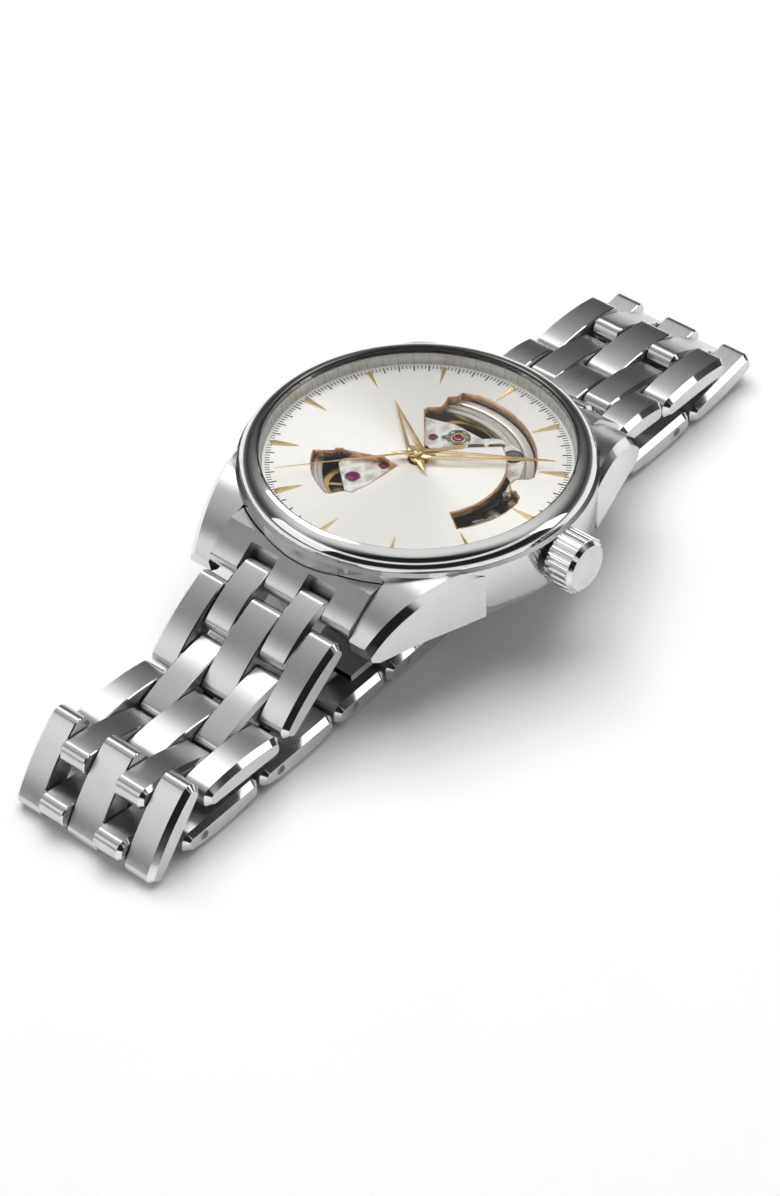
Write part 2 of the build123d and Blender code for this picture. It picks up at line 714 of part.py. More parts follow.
with BuildPart() as clasp_short_blade:
    with BuildSketch(side_view.offset(-SHORT_HALF)):
        with BuildLine():
            Polyline((-22.4, BLADE_LOW), (SEAM - 0.1, BLADE_LOW), (SEAM - 0.1, 4.05),
                     (-22.4, 4.05), close=True)
        make_face()
        with Locations(KNEE):
            Circle(0.9)
        with Locations((-22.9, 3.65)):
            Rectangle(1.4, 0.8)
    extrude(amount=2 * SHORT_HALF)
    for column_start, width in COLUMNS["B"]:
        with BuildSketch(side_view.offset(column_start + 0.05)):
            with Locations((six[-1][0], PIN_HEIGHT)):
                Circle(1.15)
            with Locations((-8.0, 2.5)):
                Rectangle(1.9, 1.5)
        extrude(amount=width - 0.1)
    with BuildSketch(side_view.offset(-11)):
        with Locations((six[-1][0], PIN_HEIGHT)):
            Circle(TURN_HOLE)
        with Locations(KNEE):
            Circle(PRESS_HOLE - 0.1)
    extrude(amount=22, mode=Mode.SUBTRACT)
with BuildPart() as knee_pin:
    with BuildSketch(side_view.offset(-6.4)):
        with Locations(KNEE):
            Circle(PIN_RADIUS - 0.1)
    extrude(amount=12.8)
save(Compound(children=list(clasp_short_blade.part.solids()) + list(knee_pin.part.solids())),
     "clasp_short_blade")

with BuildPart() as clasp_long_blade:
    with BuildSketch(side_view.offset(-LONG_HALF)):
        with BuildLine():
            Polyline((-22.3, 4.3), (LONG_END, 4.3), (LONG_END, 5.1), (-22.3, 5.1), close=True)
        make_face()
    extrude(amount=2 * LONG_HALF)
    for side in (-1, 1):
        with BuildSketch(side_view.offset(side * 5.2 - 1.1)):
            with Locations(KNEE):
                Circle(0.9)
            with Locations((-22.9, 4.7)):
                Rectangle(1.6, 0.8)
        extrude(amount=2.2)
        with BuildSketch(side_view.offset(side * 7.0 - 2.4)):
            with Locations((LONG_END - 1.75, 3.825)):
                Rectangle(3.5, 1.05)
        extrude(amount=4.8)
    with BuildSketch(side_view.offset(-11)):
        with Locations((BUTTON_PLACE, 3.825)):
            Rectangle(2.9, 0.75)
    extrude(amount=5.2, mode=Mode.SUBTRACT)
    with BuildSketch(side_view.offset(5.8)):
        with Locations((BUTTON_PLACE, 3.825)):
            Rectangle(2.9, 0.75)
    extrude(amount=5.2, mode=Mode.SUBTRACT)
    with BuildSketch(side_view.offset(-11)):
        with Locations(KNEE):
            Circle(TURN_HOLE - 0.08)
    extrude(amount=22, mode=Mode.SUBTRACT)
save(clasp_long_blade.part, "clasp_long_blade")

for side, name in ((-1, "push_button_left"), (1, "push_button_right")):
    with BuildPart() as button:
        with BuildSketch(Plane.XY.offset(3.49)):
            with Locations((side * 8.2, BUTTON_PLACE)):
                Rectangle(3.4, 2.8)
            with Locations((side * 9.2, BUTTON_PLACE)):
                Circle(1.4)
        extrude(amount=0.67)
    save(button.part, name)
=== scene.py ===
"""Looks of an open-heart wristwatch on a folded steel bracelet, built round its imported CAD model."""

import json
import math

import bmesh
import bpy
from mathutils import Matrix, Vector


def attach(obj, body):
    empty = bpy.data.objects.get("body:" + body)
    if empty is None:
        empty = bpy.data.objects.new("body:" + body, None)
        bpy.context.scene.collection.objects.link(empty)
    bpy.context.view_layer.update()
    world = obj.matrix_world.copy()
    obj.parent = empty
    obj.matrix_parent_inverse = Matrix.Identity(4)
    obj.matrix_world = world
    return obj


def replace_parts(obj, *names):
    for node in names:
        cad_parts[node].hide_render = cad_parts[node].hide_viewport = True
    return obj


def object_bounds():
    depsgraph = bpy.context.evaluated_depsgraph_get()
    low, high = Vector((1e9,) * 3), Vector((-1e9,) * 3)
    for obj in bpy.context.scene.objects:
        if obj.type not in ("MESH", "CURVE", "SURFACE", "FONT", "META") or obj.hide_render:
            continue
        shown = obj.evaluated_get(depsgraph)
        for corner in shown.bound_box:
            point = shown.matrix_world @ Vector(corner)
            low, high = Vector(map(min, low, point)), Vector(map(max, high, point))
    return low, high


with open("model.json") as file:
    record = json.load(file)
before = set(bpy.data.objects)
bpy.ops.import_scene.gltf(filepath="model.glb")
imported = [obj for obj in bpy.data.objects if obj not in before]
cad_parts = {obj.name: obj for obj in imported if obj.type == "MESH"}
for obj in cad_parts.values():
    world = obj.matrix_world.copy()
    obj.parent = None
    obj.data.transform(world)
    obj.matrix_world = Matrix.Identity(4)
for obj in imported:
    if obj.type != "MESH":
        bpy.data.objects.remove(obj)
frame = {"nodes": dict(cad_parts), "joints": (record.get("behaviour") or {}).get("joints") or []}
cad_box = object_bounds()

MM = 0.001
nodes = frame["nodes"]
joints = {joint["name"]: joint for joint in frame["joints"]}

# ---------------------------------------------------------------- the head's own frame
# +Z out of the dial, +Y to 12 o'clock, origin on the dial's face, in millimetres.
dial_centre = Vector(joints["minute_turn"]["pos_m"])
dial_up = Vector(joints["minute_turn"]["axis"])
dial_right = Vector((1, 0, 0))
dial_north = dial_up.cross(dial_right)
HEAD_AXES = Matrix((dial_right, dial_north, dial_up)).transposed().to_4x4()
HEAD_MM = Matrix.Translation(dial_centre) @ HEAD_AXES @ Matrix.Scale(MM, 4)


def joint_spot(name):
    """A joint's place in the head's frame, in millimetres."""
    return (HEAD_MM.inverted() @ Vector(joints[name]["pos_m"])).to_2d()


# ---------------------------------------------------------------- node materials
# Nearly all of a noise texture's values lie between these two.
NOISE_LOW, NOISE_HIGH = 0.3, 0.7


def set_inputs(node, values):
    """Sets a node's inputs, given by name or by number."""
    for key, value in values.items():
        node.inputs[key].default_value = value


def set_stops(node, stops):
    """Gives a colour ramp its stops: each is a place from 0 to 1 and a colour."""
    elements = node.color_ramp.elements
    while len(elements) < len(stops):
        elements.new(0.5)
    for element, (place, colour) in zip(elements, stops):
        element.position = place
        element.color = (*colour, 1)


def tint(colour, factor):
    """A lighter or darker colour, held under white."""
    return tuple(min(1.0, channel * factor) for channel in colour)


class Surface:
    """One material's node tree, with short calls for the nodes that it is made of."""

    def __init__(self, name, **values):
        self.material = bpy.data.materials.new(name)
        self.material.use_nodes = True
        self.tree = self.material.node_tree
        self.shader = self.tree.nodes["Principled BSDF"]
        set_inputs(self.shader, values)

    def node(self, kind, **values):
        made = self.tree.nodes.new(kind)
        set_inputs(made, values)
        return made

    def link(self, source, target):
        self.tree.links.new(source, target)

    def place(self, scale=(1, 1, 1), turn=(0, 0, 0), move=(0, 0, 0)):
        """The object's own coordinates in metres, stretched, turned and moved."""
        where = self.node("ShaderNodeTexCoord")
        mapping = self.node("ShaderNodeMapping", Scale=scale, Rotation=turn, Location=move)
        self.link(where.outputs["Object"], mapping.inputs["Vector"])
        return mapping.outputs["Vector"]

    def noise(self, vector, scale=1.0, detail=2.0, roughness=0.5):
        made = self.node("ShaderNodeTexNoise", Scale=scale, Detail=detail, Roughness=roughness)
        self.link(vector, made.inputs["Vector"])
        return made.outputs["Fac"]

    def spread(self, value, low, high, start=0.0, end=1.0):
        """A value from start..end spread over low..high."""
        made = self.node("ShaderNodeMapRange")
        set_inputs(made, {1: start, 2: end, 3: low, 4: high})
        self.link(value, made.inputs[0])
        return made.outputs[0]

    def calculate(self, operation, *values):
        """One step of arithmetic on numbers and on other nodes' values."""
        made = self.tree.nodes.new("ShaderNodeMath")
        made.operation = operation
        for socket, value in zip(made.inputs, values):
            if isinstance(value, (int, float)):
                socket.default_value = value
            else:
                self.link(value, socket)
        return made.outputs[0]

    def vector_step(self, operation, vector, constant=(0, 0, 0)):
        """One step of arithmetic on a vector, with a constant one where it takes two."""
        made = self.tree.nodes.new("ShaderNodeVectorMath")
        made.operation = operation
        made.inputs[1].default_value = constant
        self.link(vector, made.inputs[0])
        return made.outputs[0]

    def colour_by(self, value, colour, darkest, lightest, start=NOISE_LOW, end=NOISE_HIGH):
        """Tints the base colour from darkest to lightest as the value goes from start to end."""
        ramp = self.tree.nodes.new("ShaderNodeValToRGB")
        set_stops(ramp, ((start, tint(colour, darkest)), (end, tint(colour, lightest))))
        self.link(value, ramp.inputs[0])
        self.link(ramp.outputs[0], self.shader.inputs["Base Color"])

    def roughness_by(self, value, low, high, start=NOISE_LOW, end=NOISE_HIGH):
        self.link(self.spread(value, low, high, start, end), self.shader.inputs["Roughness"])

    def bump(self, height, strength, depth):
        made = self.node("ShaderNodeBump", Strength=strength, Distance=depth)
        self.link(height, made.inputs["Height"])
        self.link(made.outputs["Normal"], self.shader.inputs["Normal"])

    def grain_along(self, axis):
        """Stretches the highlights across this axis, as a grain that runs along it does."""
        geometry = self.tree.nodes.new("ShaderNodeNewGeometry")
        tangent = self.vector_step("CROSS_PRODUCT", geometry.outputs["Normal"], axis)
        self.link(tangent, self.shader.inputs["Tangent"])


# Texture scales are in features per metre along each axis.
SATIN_GRAIN = (12000, 420, 420)
UNEVEN_GRAIN = (240, 90, 90)
FINE_SHARE = 0.75
SATIN_SPREAD = 0.03
FINISH_DEPTH = 0.004 * MM


def brushed(name, colour, roughness, grain=SATIN_GRAIN, along=(0, 1, 0), aniso=0.7):
    """Brushed metal: fine short streaks along the given axis, over a broader unevenness."""
    made = Surface(name, Metallic=1.0, Anisotropic=aniso)
    fine = made.noise(made.place(grain), detail=3.0)
    broad = made.noise(made.place(UNEVEN_GRAIN))
    streaks = made.calculate("ADD", made.calculate("MULTIPLY", fine, FINE_SHARE),
                             made.calculate("MULTIPLY", broad, 1 - FINE_SHARE))
    made.colour_by(streaks, colour, darkest=0.90, lightest=1.06)
    made.roughness_by(streaks, roughness - SATIN_SPREAD, roughness + SATIN_SPREAD)
    made.bump(fine, strength=0.06, depth=FINISH_DEPTH)
    made.grain_along(along)
    return made.material


HAZE_SCALE = (420, 420, 420)
HAZE_START = 0.35


def polished(name, colour, roughness, wear, metallic=1.0):
    """Mirror-polished metal with the faint haze that handling leaves."""
    made = Surface(name, Metallic=metallic)
    haze = made.noise(made.place(HAZE_SCALE), detail=4.0, roughness=0.6)
    made.roughness_by(haze, roughness, roughness + wear, start=HAZE_START)
    made.colour_by(haze, colour, darkest=0.97, lightest=1.02)
    return made.material


def sunray(name, colour):
    """Painted dial over a fine brushing that fans out from its centre."""
    made = Surface(name, Metallic=0.35, Anisotropic=0.85)
    from_centre = made.place(move=-dial_centre)
    parts = made.tree.nodes.new("ShaderNodeSeparateXYZ")
    made.link(from_centre, parts.inputs[0])
    angle = made.calculate("ARCTAN2", parts.outputs["Y"], parts.outputs["X"])
    ring = made.tree.nodes.new("ShaderNodeCombineXYZ")
    made.link(made.calculate("COSINE", angle), ring.inputs["X"])
    made.link(made.calculate("SINE", angle), ring.inputs["Y"])
    rays = made.noise(ring.outputs[0], scale=150.0, detail=3.0, roughness=0.6)
    made.colour_by(rays, colour, darkest=0.95, lightest=1.03)
    made.roughness_by(rays, 0.30, 0.40)
    made.bump(rays, strength=0.05, depth=0.01 * MM)
    outward = made.vector_step("NORMALIZE", from_centre)
    around = made.vector_step("CROSS_PRODUCT", outward, dial_up)
    made.link(around, made.shader.inputs["Tangent"])
    return made.material


FILM_SCALE = (60, 60, 60)
FILM_SPREAD = 0.2


def glass(name, sheen):
    """Coated sapphire: clear, with a faint reflection that grows toward the edge."""
    made = Surface(name)
    clear = made.node("ShaderNodeBsdfTransparent", Color=(0.99, 0.99, 0.985, 1))
    gloss = made.node("ShaderNodeBsdfGlossy", Roughness=0.03)
    facing = made.node("ShaderNodeFresnel", IOR=1.25)
    film = made.noise(made.place(FILM_SCALE), detail=1.0)
    uneven = made.spread(film, sheen * (1 - FILM_SPREAD), sheen * (1 + FILM_SPREAD))
    mix = made.tree.nodes.new("ShaderNodeMixShader")
    made.link(made.calculate("MULTIPLY", facing.outputs[0], uneven), mix.inputs[0])
    made.link(clear.outputs[0], mix.inputs[1])
    made.link(gloss.outputs[0], mix.inputs[2])
    made.link(mix.outputs[0], made.tree.nodes["Material Output"].inputs["Surface"])
    made.tree.nodes.remove(made.shader)
    return made.material


def plain_finish(name, colour, roughness, metallic=0.0, scale=900, contrast=0.12):
    """Moulded, cast, printed or painted surface: mottled a little in colour and gloss."""
    made = Surface(name, Metallic=metallic)
    mottle = made.noise(made.place((scale, scale, scale)), detail=4.0, roughness=0.6)
    made.colour_by(mottle, colour, 1 - contrast, 1 + contrast)
    made.roughness_by(mottle, roughness * 0.85, roughness * 1.15)
    made.bump(mottle, strength=0.1, depth=FINISH_DEPTH)
    return made.material


# A wave texture of scale 1 repeats every 0.314 metres.
WAVE_SCALE = 0.314 / (1.7 * MM)
WAVE_TURNS = (0.5, -0.75)


def engraved(name, colour):
    """Plated bridge with rows of engraved waves: two slanting band patterns that cross."""
    made = Surface(name, Metallic=0.6)
    bands = []
    for turn in WAVE_TURNS:
        wave = made.node("ShaderNodeTexWave", Scale=WAVE_SCALE, Distortion=1.2, Detail=1.0)
        set_inputs(wave, {"Detail Scale": 1.5})
        wave.wave_profile = "TRI"
        made.link(made.place(turn=(0, 0, turn)), wave.inputs["Vector"])
        bands.append(wave.outputs["Fac"])
    crossed = made.calculate("MAXIMUM", *bands)
    made.colour_by(crossed, colour, darkest=0.88, lightest=1.12, start=0.4, end=0.9)
    made.roughness_by(crossed, 0.26, 0.40, start=0.0, end=1.0)
    made.bump(crossed, strength=0.5, depth=0.08 * MM)
    return made.material


UPRIGHT = (0, 0, 1)
GILT_GRAIN, CAST_GRAIN = (1800, 1800, 1800), (900, 900, 900)

steel_satin = brushed("satin_steel", (0.68, 0.68, 0.675), roughness=0.30)
steel_side = brushed("satin_side_steel", (0.62, 0.62, 0.615), roughness=0.32)
steel_dark = brushed("inner_steel", (0.42, 0.42, 0.42), roughness=0.38)
gilt = brushed("gilt_brass", (0.95, 0.70, 0.28), 0.34, GILT_GRAIN, UPRIGHT, aniso=0.2)
plate_steel = brushed("plate_steel", (0.52, 0.50, 0.47), 0.34, CAST_GRAIN, UPRIGHT, aniso=0.1)
steel_mirror = polished("mirror_steel", (0.80, 0.80, 0.795), roughness=0.035, wear=0.03)
steel_flank = polished("flank_steel", (0.66, 0.66, 0.655), roughness=0.15, wear=0.04)
# The rail is light silver steel; the warm rose tint in its colour is a painted brown reflection.
rail_steel_painted_reflection = polished("rail_steel_painted_reflection", (0.84, 0.82, 0.78), roughness=0.20, wear=0.06, metallic=0.7)
spring_steel = polished("hairspring_steel", (0.30, 0.31, 0.35), roughness=0.20, wear=0.05)
gold_mirror = polished("gold_plate", (1.0, 0.76, 0.40), roughness=0.20, wear=0.08, metallic=0.85)
rose_mirror = polished("rose_wall", (0.95, 0.62, 0.38), roughness=0.24, wear=0.10, metallic=0.8)
dial_paint = sunray("sunray_silver", (0.97, 0.955, 0.935))
sapphire = glass("sapphire", sheen=0.45)
rubber = plain_finish("gasket_rubber", (0.02, 0.02, 0.02), roughness=0.6)
ruby = plain_finish("ruby", (0.16, 0.004, 0.085), roughness=0.08, scale=1500)
# Black for the printed marks, and also for the painted shade round the cock screw's head.
print_and_shade_black = plain_finish("black_print_and_shade", (0.012, 0.012, 0.013), roughness=0.45)
rehaut_paint = plain_finish("rehaut_silver", (0.62, 0.62, 0.60), roughness=0.35, metallic=0.6)
bridge_steel = engraved("engraved_bridge", (0.86, 0.85, 0.82))

# ---------------------------------------------------------------- the CAD nodes' finishes
LOOKS = {
    "caseback": steel_satin, "bezel": steel_mirror, "crystal": sapphire, "caseback_glass": sapphire,
    "seals": rubber, "rehaut": rehaut_paint, "hour_markers": gold_mirror, "hour_hand": gold_mirror,
    "minute_hand": gold_mirror, "seconds_hand": gold_mirror, "main_plate": plate_steel,
    "movement_ring": steel_dark, "balance_cock": bridge_steel, "train_bridge": bridge_steel,
    "jewels": ruby, "balance_wheel": gilt, "pallet_fork": steel_mirror, "escape_wheel": steel_mirror,
    "third_wheel": gilt, "fourth_wheel": gilt, "barrel": gilt, "rotor": bridge_steel,
    "crown_tube": steel_side, "winding_stem": steel_side, "winding_pinion": steel_side,
    "spring_bars": steel_side, "clasp_short_blade": steel_side, "clasp_long_blade": steel_side,
    "push_button_left": steel_side, "push_button_right": steel_side,
}
ROWS = [name for name in nodes if "_row" in name]
SMOOTH_ANGLE = math.radians(28)
WELD_REACH = 0.001 * MM


def split_corners(made):
    """Keeps the corners of a smooth-shaded piece crisp."""
    corners = made.modifiers.new("corners", "EDGE_SPLIT")
    corners.split_angle = SMOOTH_ANGLE


def smooth_curves(made):
    """Shades a CAD node's curved faces smooth and leaves its corners crisp."""
    normals = made.data.attributes.get("custom_normal")
    if normals:
        made.data.attributes.remove(normals)
    made.data.shade_smooth()
    weld = made.modifiers.new("weld", "WELD")
    weld.merge_threshold = WELD_REACH
    split_corners(made)


def dress(name, *materials):
    """Gives a CAD node its materials."""
    mesh = nodes[name].data
    mesh.materials.clear()
    for material in materials:
        mesh.materials.append(material)
    return mesh


def dress_by_face(name, pick, *materials):
    """Gives a CAD node several materials: pick chooses one from a face's normal."""
    for polygon in dress(name, *materials).polygons:
        polygon.material_index = pick(polygon.normal)


def link_finish(normal):
    """A link's bevels are polished: they lean halfway to the side."""
    return 1 if 0.2 < abs(normal.x) < 0.97 else 0


def case_finish(normal):
    """The case is satin above and at its ends, with a polished bevel and smooth flanks."""
    lift = abs(normal.dot(dial_up))
    if abs(normal.x) < 0.25 or lift > 0.9:
        return 0
    return 1 if lift > 0.3 else 2


def crown_finish(normal):
    """The crown's face is satin and its flutes are polished."""
    return 0 if abs(normal.x) > 0.85 else 1


def dial_finish(normal):
    """The dial's faces are painted and the walls of its openings are rose gold."""
    return 0 if abs(normal.dot(dial_up)) > 0.9 else 1


for node_object in nodes.values():
    smooth_curves(node_object)
for name, material in LOOKS.items():
    dress(name, material)
for name in ROWS + ["end_links"]:
    dress_by_face(name, link_finish, steel_satin, steel_mirror)
dress_by_face("case_middle", case_finish, steel_satin, steel_mirror, steel_flank)
dress_by_face("crown", crown_finish, steel_satin, steel_mirror)
dress_by_face("dial", dial_finish, dial_paint, rose_mirror)


# ---------------------------------------------------------------- how Blender's own pieces are made
# Their sizes are in millimetres in the head's frame, so heights are over the dial's face.
def show(name, data):
    """A new object in the scene."""
    made = bpy.data.objects.new(name, data)
    bpy.context.scene.collection.objects.link(made)
    return made


def add_piece(name, mesh, body, material, smooth=True):
    """A new piece that rides on a CAD body, from a mesh in the head's frame."""
    mesh.name = name
    mesh.transform(HEAD_MM)
    mesh.materials.append(material)
    made = show(name, mesh)
    if smooth:
        mesh.shade_smooth()
        split_corners(made)
    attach(made, body)
    return made


MERGE_REACH = 1e-5


def mesh_from(vertices, faces, merge=False):
    """A mesh with its faces turned outward, and its coinciding points merged where asked."""
    mesh = bpy.data.meshes.new("piece")
    mesh.from_pydata(vertices, [], faces)
    edit = bmesh.new()
    edit.from_mesh(mesh)
    if merge:
        bmesh.ops.remove_doubles(edit, verts=edit.verts, dist=MERGE_REACH)
        bmesh.ops.dissolve_degenerate(edit, edges=edit.edges, dist=MERGE_REACH)
    bmesh.ops.recalc_face_normals(edit, faces=edit.faces)
    edit.to_mesh(mesh)
    edit.free()
    return mesh


def polar(radius, degrees):
    """A point at a clock angle: 0 at 12 o'clock, turning with the hands."""
    angle = math.radians(degrees)
    return radius * math.sin(angle), radius * math.cos(angle)


def turned_point(x, y, degrees):
    """A point given as if its piece pointed to 12 o'clock, turned to a clock angle."""
    return Vector(polar(x, degrees + 90)) + Vector(polar(y, degrees))


BLOCK_FACES = ((0, 3, 2, 1), (4, 5, 6, 7), (0, 1, 5, 4), (1, 2, 6, 5), (2, 3, 7, 6), (3, 0, 4, 7))


def blocks_mesh(blocks):
    """Many small blocks in one mesh; each is eight corners, low four then high four."""
    vertices, faces = [], []
    for corners in blocks:
        first = len(vertices)
        vertices += corners
        faces += [[first + index for index in face] for face in BLOCK_FACES]
    return mesh_from(vertices, faces)


def slab(flat, low, high):
    """The corners of a block between two heights, from its four corners in plan."""
    return [(*point, height) for height in (low, high) for point in flat]


def lathe(profile, centre=(0, 0), steps=64):
    """A turned piece about an axis along the head's up: the profile is radius and height pairs."""
    vertices, faces = [], []
    count = len(profile)
    for step in range(steps):
        angle = math.tau * step / steps
        vertices += [(centre[0] + radius * math.cos(angle), centre[1] + radius * math.sin(angle), height)
                     for radius, height in profile]
        here, after = step * count, (step + 1) % steps * count
        faces += [(here + i, after + i, after + i + 1, here + i + 1) for i in range(count - 1)]
    return mesh_from(vertices, faces, merge=True)


def lathe_arc(profile, start, end, steps):
    """Like lathe, but only between two clock angles, with closed ends."""
    vertices, faces = [], []
    count = len(profile)
    for step in range(steps + 1):
        degrees = start + (end - start) * step / steps
        vertices += [(*polar(radius, degrees), height) for radius, height in profile]
    for step in range(steps):
        here, after = step * count, (step + 1) * count
        faces += [(here + i, after + i, after + (i + 1) % count, here + (i + 1) % count)
                  for i in range(count)]
    faces += [list(range(count)), list(range(steps * count, (steps + 1) * count))]
    return mesh_from(vertices, faces)


def ring_profile(inner, outer, low, high, edge):
    """A closed ring section with broken upper edges."""
    return ((inner, low), (outer, low), (outer, high - edge), (outer - edge, high),
            (inner + edge, high), (inner, high - edge), (inner, low))


# ---------------------------------------------------------------- dial and rehaut
PRINT_HEIGHT = 0.02
TRACK_OUTER = 16.8
TICKS, TICKS_PER_MINUTE, TICKS_PER_MARKER = 240, 4, 20
# Each tick's length and width.
LONG_TICK, SHORT_TICK = (1.0, 0.15), (0.55, 0.10)


def minute_track():
    """A long tick each minute and three short ones between; none under an hour marker."""
    blocks = []
    for count in range(TICKS):
        if count % TICKS_PER_MARKER == 0:
            continue
        length, width = LONG_TICK if count % TICKS_PER_MINUTE == 0 else SHORT_TICK
        degrees = count * 360 / TICKS
        across = Vector(polar(width / 2, degrees + 90))
        inner, outer = Vector(polar(TRACK_OUTER - length, degrees)), Vector(polar(TRACK_OUTER, degrees))
        plan = (inner - across, outer - across, outer + across, inner + across)
        blocks.append(slab(plan, 0.0, PRINT_HEIGHT))
    return blocks_mesh(blocks)


add_piece("minute_track", minute_track(), "head", print_and_shade_black, smooth=False)

# The rehaut's radius at its foot and top, and its height; then each line's top and half width.
REHAUT_FOOT, REHAUT_TOP, REHAUT_HEIGHT = 17.1, 17.3, 1.38
LINES, LINE_RISE, LINE_FOOT = 120, 0.03, 0.15
LONG_LINE, SHORT_LINE = (1.2, 0.05), (0.8, 0.03)


def rehaut_scale():
    """A line each half minute on the rehaut's leaning inner face, tall and short in turn."""
    blocks = []
    for count in range(LINES):
        top, half_width = LONG_LINE if count % 2 == 0 else SHORT_LINE
        degrees = count * 360 / LINES
        across = Vector(polar(half_width, degrees + 90))
        corners = []
        for rise in (LINE_RISE, 0.0):
            for height, sign in ((LINE_FOOT, -1), (LINE_FOOT, 1), (top, 1), (top, -1)):
                face = REHAUT_FOOT + (REHAUT_TOP - REHAUT_FOOT) * height / REHAUT_HEIGHT
                corners.append((*(Vector(polar(face - rise, degrees)) + across * sign), height))
        blocks.append(corners)
    return blocks_mesh(blocks)


add_piece("rehaut_scale", rehaut_scale(), "head", steel_dark, smooth=False)

WIDE_HOURS = (0, 9)
WIDE_HALF, NARROW_HALF = 0.40, 0.31
UPPER_SHARE = 0.9
SPIKE_PEAK = (0, 16.1, 0.5)
# A block without its top, and four facets that rise to the peak instead.
SPIKE_FACES = (*BLOCK_FACES[:1], *BLOCK_FACES[2:], (4, 5, 8), (5, 6, 8), (6, 7, 8), (7, 4, 8))


def marker_spikes():
    """Hour markers: slender faceted spikes, wide end out, with a ridge that climbs outward."""
    vertices, faces = [], []
    for hour in range(12):
        half = WIDE_HALF if hour in WIDE_HOURS else NARROW_HALF
        upper_half = half * UPPER_SHARE
        outline = ((0, 13.3, 0.02), (half, 16.35, 0.02), (0, 16.65, 0.02), (-half, 16.35, 0.02))
        upper = ((0, 13.34, 0.13), (upper_half, 16.3, 0.2), (0, 16.58, 0.2), (-upper_half, 16.3, 0.2))
        first = len(vertices)
        vertices += [(*turned_point(x, y, 30 * hour), z) for x, y, z in (*outline, *upper, SPIKE_PEAK)]
        faces += [[first + i for i in face] for face in SPIKE_FACES]
    return mesh_from(vertices, faces)


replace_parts(add_piece("marker_spikes", marker_spikes(), "head", gold_mirror, smooth=False),
            "hour_markers")


# ---------------------------------------------------------------- hands
def kite(tip, half, shoulder, tail):
    """A hand's outline: its tip, its two shoulders and its tail."""
    return (0, tip), (half, shoulder), (0, tail), (-half, shoulder)


def roof_mesh(degrees, outer, inner, low, rise):
    """A roof of facets over a hand's open frame: outer and inner outlines with a ridge between."""
    count = len(outer)
    ridge = [((a[0] + b[0]) / 2, (a[1] + b[1]) / 2) for a, b in zip(outer, inner)]
    vertices = []
    for outline, height in ((outer, low), (ridge, low + rise), (inner, low)):
        vertices += [(*turned_point(x, y, degrees), height) for x, y in outline]
    faces = []
    for band in (0, count):
        faces += [(band + i, band + (i + 1) % count, band + count + (i + 1) % count, band + count + i)
                  for i in range(count)]
    return mesh_from(vertices, faces)


# Clock angle, outer and inner outline, top of the CAD hand, and the ridge's rise over it.
HANDS = {
    "hour_hand": (305.0, kite(10.2, 0.95, 0.9, -2.9), kite(8.6, 0.45, 1.9, 1.6), 0.581, 0.10),
    "minute_hand": (55.3, kite(15.1, 0.80, 0.9, -2.9), kite(13.2, 0.34, 2.2, 1.7), 0.851, 0.09),
}
for hand, shape in HANDS.items():
    add_piece(hand + "_facets", roof_mesh(*shape), hand, gold_mirror, smooth=False)

CAP_PROFILE = ((0.62, 1.06), (0.62, 1.12), (0.5, 1.2), (0.3, 1.25), (0.3, 1.3), (0.22, 1.36), (0.0, 1.37))
add_piece("seconds_cap", lathe(CAP_PROFILE), "seconds_arbor", gold_mirror)

# ---------------------------------------------------------------- the dial's openings
# The lips line the dial's two openings: they are the openings' own walls, carried down to the bridges.
LIP_TOP, LIP_DROP, LIP_THICK = 0.012, 0.34, 0.13
DIAL_MIDDLE = -0.25
HAND_HOLE, OPENING_REACH = 1.6, 14.0
SHARED_CORNER = 1e-4


def opening_lips():
    """The walls of the dial's openings, without its rim and its hand hole, made taller."""
    walls = bmesh.new()
    walls.from_mesh(nodes["dial"].data)
    bmesh.ops.transform(walls, matrix=HEAD_MM.inverted(), verts=walls.verts)
    bmesh.ops.remove_doubles(walls, verts=walls.verts, dist=SHARED_CORNER)
    walls.normal_update()
    others = [face for face in walls.faces if abs(face.normal.z) >= 0.5
              or not HAND_HOLE < face.calc_center_median().to_2d().length < OPENING_REACH]
    bmesh.ops.delete(walls, geom=others, context="FACES")
    for vertex in walls.verts:
        vertex.co.z = LIP_TOP if vertex.co.z > DIAL_MIDDLE else vertex.co.z - LIP_DROP
    mesh = bpy.data.meshes.new("piece")
    walls.to_mesh(mesh)
    walls.free()
    return mesh


lips = add_piece("opening_lips", opening_lips(), "head", rose_mirror)
thickness = lips.modifiers.new("wall", "SOLIDIFY")
thickness.thickness = LIP_THICK * MM
thickness.offset = 1.0
thickness.use_even_offset = True

# ---------------------------------------------------------------- movement: rail and balance
# The stepped rail round the movement is open where the keyless works show.
RAIL_PROFILE = ((10.5, -1.85), (10.5, -1.3), (10.6, -1.22), (11.0, -1.2), (11.04, -1.02), (11.1, -0.98),
                (11.45, -0.98), (11.5, -1.1), (11.8, -1.1), (11.84, -0.92), (12.0, -0.88), (12.7, -0.88),
                (12.7, -1.85))
RAIL_START, RAIL_END = 126, 436
add_piece("plate_rail", lathe_arc(RAIL_PROFILE, RAIL_START, RAIL_END, steps=160), "head",
          rail_steel_painted_reflection)

BALANCE = joint_spot("balance_swing")
# The rim's section, the hub and staff's radius and height pairs, and an arm's reach and side pairs.
RIM_INNER, RIM_OUTER, RIM_LOW, RIM_HIGH, RIM_EDGE = 4.1, 4.7, -2.4, -2.0, 0.04
HUB_PROFILE = ((0.0, -3.1), (0.28, -3.1), (0.28, -2.4), (0.62, -2.4), (0.62, -1.95), (0.28, -1.9),
               (0.28, -1.4), (0.0, -1.4))
ARM_PLAN = ((0.4, -0.32), (4.2, -0.18), (4.2, 0.18), (0.4, 0.32))
ARM_LOW, ARM_HIGH = -2.35, -2.05
ARMS, FIRST_ARM = 3, 20


